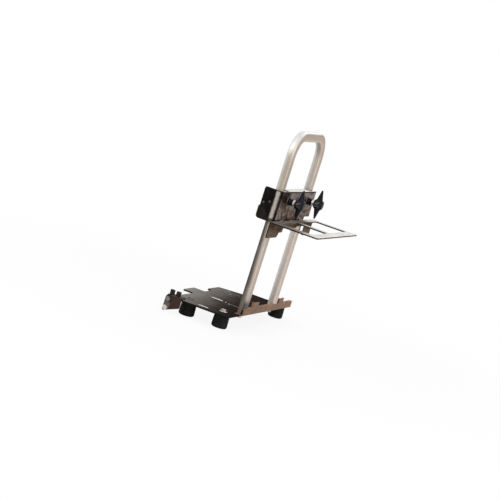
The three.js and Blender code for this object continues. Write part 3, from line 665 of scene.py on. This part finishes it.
def round_corners(corners, radii, steps=6, closed=True):
    """A line with rounded corners: each corner becomes an arc between the points where it leaves the sides.

    The arc is the rational curve of three points whose middle weight is the sine of half the corner.
    """
    corners = np.asarray(corners, float)
    radii = np.broadcast_to(np.asarray(radii, float), len(corners)).copy()
    before, after = np.roll(corners, 1, 0) - corners, np.roll(corners, -1, 0) - corners
    if not closed:
        radii[[0, -1]] = 0.0
    length_before = np.linalg.norm(before, axis=1)
    length_after = np.linalg.norm(after, axis=1)
    cosine = np.clip((before * after).sum(1) / (length_before * length_after), -1, 1)
    half = np.maximum(np.arccos(cosine) / 2, 1e-3)
    most = 0.499 * np.minimum(length_before, length_after)
    reach = np.minimum(radii / np.tan(half), most)
    start = corners + before * (reach / length_before)[:, None]
    end = corners + after * (reach / length_after)[:, None]
    t = np.linspace(0, 1, steps + 1)[None, :, None]
    weight = np.sin(half)[:, None, None]
    ends, middle, tail = (1 - t) ** 2, 2 * t * (1 - t) * weight, t ** 2
    curve = ends * start[:, None] + middle * corners[:, None] + tail * end[:, None]
    line = (curve / (ends + middle + tail)).reshape(-1, corners.shape[1])
    keep = np.linalg.norm(line - np.roll(line, 1, 0), axis=1) > 1e-6
    keep[0] = keep[0] or not closed
    return line[keep]


def round_angles(facets):
    """The angles of a whole turn, one for each facet."""
    return np.linspace(0, 2 * np.pi, facets, endpoint=False)


def rings_about(radii, heights, angles, flip=1.0):
    """Rings about the Z axis: a point of its radius and height at each angle. A flip of -1 upends them."""
    east, north = radii * np.cos(angles), radii * np.sin(angles)
    return np.stack([east * flip, north, np.broadcast_to(heights, east.shape) * flip], axis=-1)


TURN_ORDER = {"z": [0, 1, 2], "x": [2, 0, 1], "y": [1, 2, 0]}


def stand(points, along, place):
    """Points made about the Z axis, laid along another axis and moved to their place."""
    return points[..., TURN_ORDER[along]] + np.asarray(place, float)


def turned(name, profile, along, place, node, look=None, stands_in=True, facets=64, closed=False):
    """A turned piece: each profile point (radius, height) goes round the axis."""
    profile = np.asarray(profile, float)
    rings = rings_about(profile[:, :1], profile[:, 1:], round_angles(facets))
    return skin(name, stand(rings, along, place), node, look, stands_in, closed)


def bevel(obj, width):
    """Rounds each sharp edge of a piece."""
    modifier = obj.modifiers.new("broken_edges", "BEVEL")
    modifier.width = width * MM
    modifier.segments = 2
    modifier.limit_method = "ANGLE"
    modifier.angle_limit = math.radians(BROKEN_ANGLE)
    modifier.harden_normals = True


def broken_edges(node, width, look=None):
    """The node's own solid, its triangles joined and each of its sharp edges rounded."""
    solid = bmesh.new()
    solid.from_mesh(frame["nodes"][node].data)
    bmesh.ops.remove_doubles(solid, verts=solid.verts, dist=SOLID_JOIN * MM)
    flat = math.radians(FLAT_ANGLE)
    bmesh.ops.dissolve_limit(solid, angle_limit=flat, verts=solid.verts, edges=solid.edges)
    mesh = bpy.data.meshes.new(f"{node}_dressed")
    solid.to_mesh(mesh)
    solid.free()
    shade(mesh, BROKEN_ANGLE)
    obj = bpy.data.objects.new(mesh.name, mesh)
    bpy.context.scene.collection.objects.link(obj)
    bevel(obj, width)
    dress(obj, node, look)


def spot_on(node, north=None, up=None):
    """The middle of a node's box, with its place along Y or Z changed where one is given."""
    low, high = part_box(node)
    spot = ((np.array(low) + np.array(high)) / 2 - LEG_CORNER) / MM
    if north is not None:
        spot[NORTH] = north
    if up is not None:
        spot[UP] = up
    return spot


# The bow

def make_bow():
    """A rounded rectangle carried along the arch: up the near leg, round a bend, across, and down again.

    A section's point is out along the arch's normal by one of its numbers and across the tube by the other.
    Below the top of the rail, the side that the rail lies against is cut straight.
    """
    depth = TUBE_DEPTH / 2
    corners = [(-depth, 0.0), (depth, 0.0), (depth, TUBE_WIDTH), (-depth, TUBE_WIDTH)]
    section = round_corners(corners, TUBE_CORNER, 8)
    bend, bend_height = BOW_BEND - depth, BOW_TOP - BOW_BEND
    notch = PLATE_TOP + NOTCH_HEIGHT
    rise = np.concatenate([[PLATE_TOP, notch, notch], np.linspace(notch + 0.5, bend_height, 24)])
    turn = np.linspace(0, np.pi / 2, 30)[1:]
    near_arc = np.stack([BOW_BEND - bend * np.cos(turn), bend_height + bend * np.sin(turn)], -1)
    top = np.linspace(BOW_BEND, BOW_SPAN - BOW_BEND, 12)[1:-1]
    near = np.concatenate([np.stack([np.full(len(rise), depth), rise], -1), near_arc])
    near_out = np.concatenate([
        np.tile([-1.0, 0.0], (len(rise), 1)), np.stack([-np.cos(turn), np.sin(turn)], -1)])
    middle = np.stack([top, np.full(len(top), BOW_TOP - depth)], -1)
    mirror = np.array([-1.0, 1.0])
    far = near[::-1] * mirror + np.array([BOW_SPAN, 0.0])
    line = np.concatenate([near, middle, far])
    out = np.concatenate([near_out, np.tile([0.0, 1.0], (len(top), 1)), near_out[::-1] * mirror])
    reach = np.full(len(line), TUBE_WIDTH)
    reach[[0, 1, -2, -1]] = TUBE_WIDTH - NOTCH_DEPTH
    rings = np.stack([
        np.minimum(section[None, :, 1], reach[:, None]),
        line[:, None, 0] + out[:, None, 0] * section[None, :, 0],
        line[:, None, 1] + out[:, None, 1] * section[None, :, 0],
    ], axis=-1)
    around = np.linalg.norm(np.diff(np.vstack([section, section[:1]]), axis=0), axis=1)
    along = np.linalg.norm(np.diff(line, axis=0), axis=1)
    uv = (np.concatenate([[0], np.cumsum(around)]) * MM, np.concatenate([[0], np.cumsum(along)]) * MM)
    skin("bow_tube", rings, "bow", uv=uv)


# Feet, washers and screws

def make_foot(place):
    """A turned buffer, its metal insert sunk in a recess below, and its washer and bolt above the plate.

    The buffer's profile has a rounded tread, a parting line round its middle and a lip at the top.
    """
    node = f"foot_{place}"
    centre = spot_on(node, up=0.0)
    recess, recess_floor, bore, bore_floor = 7.0, 6.0, 3.3, 17.2
    washer = 1.4
    outside = round_corners([
        (recess, recess_floor), (recess, 0.0), (16.3, 0.0), (15.95, 13.7), (16.2, 14.0), (16.2, 14.6),
        (15.9, 14.9), (15.4, 28.4), (14.8, PLATE_UNDER), (bore, PLATE_UNDER), (bore, bore_floor),
        (0.0, bore_floor),
    ], [0.6, 1.2, 4.5, 0.3, 0.2, 0.2, 0.3, 0.6, 0.3, 0.3, 0.3, 0.0], 8, closed=False)
    profile = np.vstack([[0.0, recess_floor], outside])
    turned(f"{node}_moulding", profile, "z", centre, node, facets=72)
    insert = round_corners([(3.4, 4.9), (6.3, 4.9), (6.3, 5.9), (3.4, 5.9)], 0.25, 3)
    turned(f"{node}_insert", insert, "z", centre, node, "zinc_steel", False, facets=48, closed=True)
    look = None if place == "near_east" else "dull_bolt"
    make_washer(
        f"foot_washer_{place}", outer=8.0, inner=3.3, thickness=washer, along="z",
        place=centre + [0, 0, PLATE_TOP], look=look)
    make_hex_bolt(
        f"foot_bolt_{place}", corner=5.6, height=4.0, shank=3.0, length=12.2, along="z",
        place=centre + [0, 0, PLATE_TOP + washer], look=look)


def make_washer(node, outer, inner, thickness, along, place, look=None):
    """A flat ring with rounded rims, turned about its axis."""
    corners = [(inner, 0.0), (outer, 0.0), (outer, thickness), (inner, thickness)]
    profile = round_corners(corners, thickness * 0.3, 4)
    turned(f"{node}_ring", profile, along, place, node, look, closed=True)


def hexagon(angles, radius):
    """Distance from the middle to the side of a hexagon of that corner radius, at each angle."""
    folded = (angles + np.pi / 6) % (np.pi / 3) - np.pi / 6
    return radius * math.cos(math.pi / 6) / np.cos(folded)


def hex_head(angles, corner):
    """A hexagon cut by a cone of 30 degrees: its side, the radius of its flat end, and the cut's depth."""
    radius = corner * HEX_SHARE
    side = hexagon(angles, radius)
    end = radius * math.cos(math.pi / 6) * CHAMFER_SHARE
    cut = np.maximum(side - end, 0) * math.tan(math.radians(30))
    return side, end, cut


def thread_wave(heights, angles, pitch):
    """A triangle wave, from 0 on a thread's crest to 1 at its root, that climbs one pitch a turn."""
    return np.abs(((heights[:, None] / pitch - angles[None] / (2 * np.pi)) % 1.0) * 2 - 1)


def make_hex_bolt(node, corner, height, shank, length, along, place, flip=1.0, look=None):
    """A bolt: the head is a hexagon cut by a cone, and the shank's thread is a triangle wave up its turns.

    The seat is at the place, the head goes one way from it and the shank the other.
    """
    angles = round_angles(72)
    side, end, cut = hex_head(angles, corner)
    pitch = 0.8 if shank < 3 else 1.0
    depth, point, taper, relief = 0.42 * pitch, 0.6, 0.7, 0.15
    steps = np.arange(0, length - point, pitch / STEPS_A_PITCH)
    thread = shank - depth * thread_wave(steps, angles, pitch)
    ones = np.ones(len(angles))
    radii = np.array([
        ones * (shank - taper), *thread[::-1], side * CHAMFER_SHARE, side, side, ones * end])
    heights = np.array([
        -ones * length, *(-steps[::-1][:, None] * ones), ones * 0.0, ones * relief, height - cut,
        ones * height])
    rings = rings_about(radii, heights, angles, flip)
    skin(f"{node}_hex", stand(rings, along, place), node, look, angle=HEX_ANGLE)


def make_hex_nut(node, corner, height, bore, place):
    """A nut: a hexagon cut by a cone at both ends, round a plain bore."""
    angles = round_angles(72)
    side, end, cut = hex_head(angles, corner)
    ones = np.ones(len(angles))
    radii = np.array([ones * bore, ones * end, side, side, ones * end, ones * bore])
    heights = np.array([ones * 0.0, ones * 0.0, cut, height - cut, ones * height, ones * height])
    rings = rings_about(radii, heights, angles)
    skin(f"{node}_hex", stand(rings, "z", place), node, closed=True, angle=HEX_ANGLE)


def make_socket_screw(node, head, height, shank, length, place, flip=1.0):
    """A domed screw: the dome is part of a circle, and a hexagon socket is sunk in its middle."""
    angles = round_angles(72)
    ones = np.ones(len(angles))
    point = 0.6
    rise = np.linspace(0, 1, 8)
    dome_radius = head * (1 - 0.45 * rise ** 2)
    dome_height = height * (0.25 + 0.75 * np.sqrt(1 - (1 - rise) ** 2))
    key = hexagon(angles, head * 0.46)
    radii = np.array([
        ones * shank * 0.8, ones * shank, ones * shank, ones * head * 0.98, ones * head,
        *(dome_radius[:, None] * ones), key * 1.06, key, key])
    heights = np.array([
        -ones * length, -ones * (length - point), ones * 0.0, ones * 0.0, ones * height * 0.08,
        *(dome_height[:, None] * ones), ones * height, ones * height * 0.96, ones * height * 0.35])
    rings = rings_about(radii, heights, angles, flip)
    skin(f"{node}_dome", stand(rings, "z", place), node)


def make_rivet(node):
    """A domed rivet: a quarter circle from rim to crown, lying along the Y axis."""
    shank, shank_length, rim, rim_height, crown, crown_height = 1.85, 3.6, 2.55, 0.15, 0.4, 1.0
    lean = np.linspace(0, np.pi / 2, 8)
    dome = np.stack([
        crown + (rim - crown) * np.cos(lean), rim_height + (crown_height - rim_height) * np.sin(lean)], -1)
    profile = np.vstack([[(shank, -shank_length), (shank, 0.0), (rim, 0.0)], dome])
    profile[:, 1] *= -1
    turned(f"{node}_dome", profile, "y", spot_on(node, north=FLANGE_FACE), node, "dark_rivet", facets=40)


# Star knobs

def on_knob_axis(place, east=0.0):
    """A point on the axis of a knob and its stud."""
    return [east, KNOB_ACROSS[place], KNOB_HEIGHT]


def make_star(place):
    """A star with four arms: the surface is where a soft least of three distances is nought.

    They are the distances to the hub, a rounded disc, and to two tapered bars that cross. Each ray from the
    middle is searched, by halving, for that place, and ends a little short of an arm's tip. The rays lie
    closer together along the arms.
    """
    arm, tip, root, end = 28.4, 2.1, 9.0, 30.4
    hub_radius, hub_half, hub_rounding = 6.6, 6.5, 2.9
    flattening, softness, furthest = 1.08, 0.9, 36.0
    turn = round_angles(224)
    turn = turn - 0.2 * np.sin(4 * turn)
    rise = np.linspace(-1, 1, 76)[1:-1]
    lift = np.pi / 2 * np.sign(rise) * np.abs(rise) ** 1.7
    lift, turn = np.meshgrid(lift, turn, indexing="ij")
    ray = np.stack([np.cos(lift) * np.cos(turn), np.cos(lift) * np.sin(turn), np.sin(lift)], -1)

    def distance(points):
        x, y, z = np.moveaxis(points, -1, 0)
        disc = np.stack([np.hypot(x, y) - hub_radius, np.abs(z) - hub_half], -1)
        hub = np.linalg.norm(np.maximum(disc, 0), axis=-1) + np.minimum(disc.max(-1), 0) - hub_rounding
        bars = []
        for here, across in ((x, y), (y, x)):
            share = np.minimum(np.abs(here), arm) / arm
            past = np.maximum(np.abs(here) - arm, 0)
            ridge = np.sqrt(past ** 2 + across ** 2 + (z * flattening) ** 2)
            bars.append(ridge - (root + (tip - root) * share))
        return -softness * np.log(sum(np.exp(-each / softness) for each in (hub, *bars)))

    near, far = np.zeros(turn.shape), np.full(turn.shape, furthest)
    for _ in range(26):
        middle = (near + far) / 2
        inside = distance(ray * middle[..., None]) < 0
        near, far = np.where(inside, middle, near), np.where(inside, far, middle)
    rings = ray * np.minimum((near + far) / 2, end)[..., None]
    spot = on_knob_axis(place, KNOB_PLANE)
    skin(f"star_{place}_body", stand(rings, "x", spot), f"star_knob_{place}", angle=50.0)


def make_knob_fittings(place):
    """The knob's waisted collar and its ferrule behind the star, and the screw insert sunk in its front.

    Each is a ring or a disc turned about the knob's axis.
    """
    node = f"star_knob_{place}"
    bore = 3.9
    foot = WEB_FACE + CLAMP_WASHER + 0.3
    collar = round_corners([
        (bore, foot), (8.0, foot), (8.0, foot + 3.2), (6.8, foot + 5.0), (7.4, foot + 9.4),
        (bore, foot + 9.4),
    ], [0.3, 0.5, 0.8, 2.5, 0.5, 0.3])
    ferrule = round_corners([
        (bore, foot + 9.5), (6.4, foot + 9.5), (5.9, foot + 12.5), (6.9, foot + 15.4), (bore, foot + 15.4),
    ], [0.3, 0.5, 1.5, 0.4, 0.3])
    front = KNOB_PLANE + 9.4
    insert = round_corners([
        (0.0, front - 1.0), (4.6, front - 1.0), (4.6, front - 0.1), (3.4, front), (2.9, front - 0.5),
        (0.0, front - 0.5),
    ], [0.0, 0.0, 0.3, 0.3, 0.2, 0.0], 4, closed=False)
    for name, profile, look, closed in (
        ("collar", collar, "knob_plastic", True),
        ("ferrule", ferrule, "zinc_steel", True),
        ("insert", insert, "zinc_steel", False),
    ):
        turned(f"star_{place}_{name}", profile, "x", on_knob_axis(place), node, look, False, closed=closed)


def make_stud(place):
    """A threaded rod: its radius falls by a triangle wave that climbs one pitch a turn."""
    node = f"clamp_stud_{place}"
    pitch, crest, depth, core, point = 1.25, 3.78, 0.5, 2.9, 0.6
    start, end = JAW_BACK - 2.0, KNOB_PLANE - 0.4
    angles = round_angles(40)
    steps = np.arange(start + point, end - point, pitch / STEPS_A_PITCH)
    chamfer = np.full(len(angles), core)
    radii = np.vstack([chamfer, crest - depth * thread_wave(steps, angles, pitch), chamfer])
    heights = np.concatenate([[start], steps, [end]])[:, None]
    rings = rings_about(radii, heights, angles)
    skin(f"{node}_thread", stand(rings, "x", on_knob_axis(place)), node, angle=60.0)


# The guide shelf's welds and root lip

def make_weld(number, start, end):
    """A bead along Y: circles whose radius has a ripple for each drop and falls to nothing at both ends."""
    radius, drop = 1.3, 1.5
    length = end - start
    share = np.linspace(0, 1, int(length * 5))
    ripple = np.abs(np.sin(share * length / drop * np.pi)) ** 0.7
    swell = np.sqrt(np.clip(1 - np.abs(2 * share - 1) ** 8, 0, 1))
    size = radius * (0.82 + 0.18 * ripple) * np.maximum(swell, 0.02)
    rings = rings_about(size[:, None], (share * length)[:, None], round_angles(20))
    spot = [WEB_FACE + 0.7, start, SHELF_TOP + 0.1]
    skin(f"shelf_weld_{number}", stand(rings, "y", spot), "guide_shelf", "weld", False, angle=60.0)


def make_root_lip():
    """The sheet turned down along the shelf's root, from ear to ear: its stepped outline carried east.

    Its top is sunk a little into the shelf, and its back stands a little off the bracket's web.
    """
    near_end, far_end = 56.5, 204.5
    back, front = WEB_FACE + 0.4, WEB_FACE + 2.7
    top = SHELF_UNDER + 0.3
    outline = round_corners([
        (near_end, top), (near_end, 219.0), (144.0, 218.5), (147.5, 222.0), (far_end, 222.0),
        (far_end, top),
    ], [0.0, 0.0, 1.0, 1.5, 0.0, 0.0])
    rings = np.stack([np.insert(outline, 0, east, 1) for east in (back, front)])
    bevel(skin("shelf_root_lip", rings, "guide_shelf", stands_in=False), 0.35)


# Assembly

def finish_nodes():
    """Gives each node of the model the finish of its slot."""
    for node, obj in frame["nodes"].items():
        obj.data.materials.clear()
        obj.data.materials.append(FINISHES[NODE_SLOT[node]])


def make_pieces():
    """Every new piece: bow, feet, clamps, sheets with broken edges, fasteners, welds and root lip."""
    make_bow()
    for place in ("near_east", "near_west", "far_east", "far_west"):
        make_foot(place)
    for place in KNOB_ACROSS:
        make_star(place)
        make_knob_fittings(place)
        make_stud(place)
        make_washer(
            f"clamp_washer_{place}", outer=9.0, inner=4.4, thickness=CLAMP_WASHER, along="x",
            place=on_knob_axis(place, WEB_FACE), look="dull_bolt")
        broken_edges(f"clamp_jaw_{place}", 0.6)
    for node, width in (
        ("base_plate", 0.4), ("base_rail", 0.3), ("end_lug", 0.5), ("carriage_bracket", 0.4),
        ("guide_shelf", 0.45), ("side_pad", 0.4), ("web_pad_near", 0.4), ("web_pad_far", 0.4),
        ("ear_pad", 0.4),
    ):
        broken_edges(node, width, "lug_steel" if node == "end_lug" else None)
    for node in ("pad_rivet_1", "pad_rivet_2"):
        make_rivet(node)
    nut_height = 4.0
    for number in (1, 2):
        node = f"lug_bolt_{number}"
        make_hex_bolt(
            node, corner=LUG_HEX, height=9.0, shank=2.5, length=10.3, along="z",
            place=spot_on(node, up=PLATE_TOP + SHEET), look="black_bolt")
        make_hex_nut(
            f"lug_nut_{number}", corner=LUG_HEX, height=nut_height, bore=2.75,
            place=spot_on(node, up=PLATE_UNDER - nut_height))
    for node, look in (("lug_face_bolt", "dull_bolt"), ("lug_spur_bolt", None)):
        make_hex_bolt(
            node, corner=LUG_HEX, height=4.5, shank=2.5, length=2.9, along="y",
            place=spot_on(node, north=LUG_FACE), flip=-1.0, look=look)
    for node in ("rail_screw_1", "rail_screw_2", "rail_screw_3"):
        make_socket_screw(
            node, head=4.0, height=2.2, shank=2.0, length=4.4,
            place=spot_on(node, up=PLATE_TOP + RAIL_SHEET))
    for node in ("leg_screw_near", "leg_screw_far"):
        make_socket_screw(
            node, head=4.6, height=4.0, shank=2.5, length=22.0, place=spot_on(node, up=PLATE_UNDER),
            flip=-1.0)
    make_weld(1, 24.0, 46.0)
    make_weld(2, 90.0, 114.0)
    make_weld(3, 158.0, 180.0)
    make_root_lip()


def make_world():
    """A white world, dimmer as a light, and warm and dark where metal mirrors its north side."""
    world = bpy.data.worlds.new("studio")
    world.use_nodes = True
    bpy.context.scene.world = world
    graph = Graph(world.node_tree)
    light, mirrored, mirrored_loss = 0.45, 0.5, 0.74
    through = graph.node("ShaderNodeLightPath", output="Is Transmission Ray")
    seen = graph.node("ShaderNodeLightPath", output="Is Camera Ray").highest(through)
    gloss = graph.node("ShaderNodeLightPath", output="Is Glossy Ray")
    direction = graph.node("ShaderNodeTexCoord", output="Generated")
    behind = graph.axis(direction, NORTH).ramp(-0.1, 0.7) * graph.axis(direction, UP).fall(0.1, 0.6)
    color = graph.mix(gloss * behind, (1.0, 1.0, 1.0), (1.0, 0.84, 0.7))
    strength = light + seen * (1.0 - light) + gloss * (mirrored - behind * mirrored_loss)
    graph.feed(world.node_tree.nodes["Background"], Color=color, Strength=strength)


def make_floor():
    """A wide white floor. It glows for the camera, a little less near the mill, and so keeps a shadow."""
    half, near_glow = 30.0, 0.9
    mesh = bpy.data.meshes.new("floor")
    corners = [(-half, -half, 0.0), (half, -half, 0.0), (half, half, 0.0), (-half, half, 0.0)]
    mesh.from_pydata(corners, [], [(0, 1, 2, 3)])
    floor = bpy.data.objects.new("floor", mesh)
    bpy.context.scene.collection.objects.link(floor)
    material = bpy.data.materials.new("floor_white")
    material.use_nodes = True
    mesh.materials.append(material)
    nodes = material.node_tree.nodes
    nodes.remove(nodes["Principled BSDF"])
    graph = Graph(material.node_tree)
    seen = graph.node("ShaderNodeLightPath", output="Is Camera Ray")
    plain = graph.node("ShaderNodeBsdfDiffuse", values={"Color": (0.9, 0.9, 0.9)})
    glow = graph.node("ShaderNodeEmission", values={"Color": (1.0, 1.0, 1.0), "Strength": 1.0})
    reach = graph.node("ShaderNodeVectorMath", {"operation": "LENGTH"}, {0: graph.place()}, output="Value")
    bright = near_glow + reach.ramp(0.35, 1.0) * (1.0 - near_glow)
    mixed = graph.node("ShaderNodeMixShader", values={0: seen * bright, 1: plain, 2: glow})
    graph.feed(nodes["Material Output"], Surface=mixed)


def make_lamps():
    """Three broad lamps that face the middle of the mill, with sizes in metres and powers in watts."""
    middle = (cad_low + cad_high) / 2
    for name, offset, size, power in (
        ("key", (-1.6, -2.2, 2.2), 1.6, 52.0),
        ("fill", (2.4, -1.6, 1.3), 1.8, 26.0),
        ("back", (0.4, 2.4, 2.0), 1.6, 30.0),
    ):
        data = bpy.data.lights.new(name, "AREA")
        data.size = size
        data.energy = power
        lamp = bpy.data.objects.new(name, data)
        lamp.location = middle + Vector(offset)
        lamp.rotation_euler = (middle - lamp.location).to_track_quat("-Z", "Y").to_euler()
        bpy.context.scene.collection.objects.link(lamp)


make_camera()
finish_nodes()
make_pieces()
make_world()
make_floor()
make_lamps()
bpy.context.scene.view_settings.view_transform = "Standard"
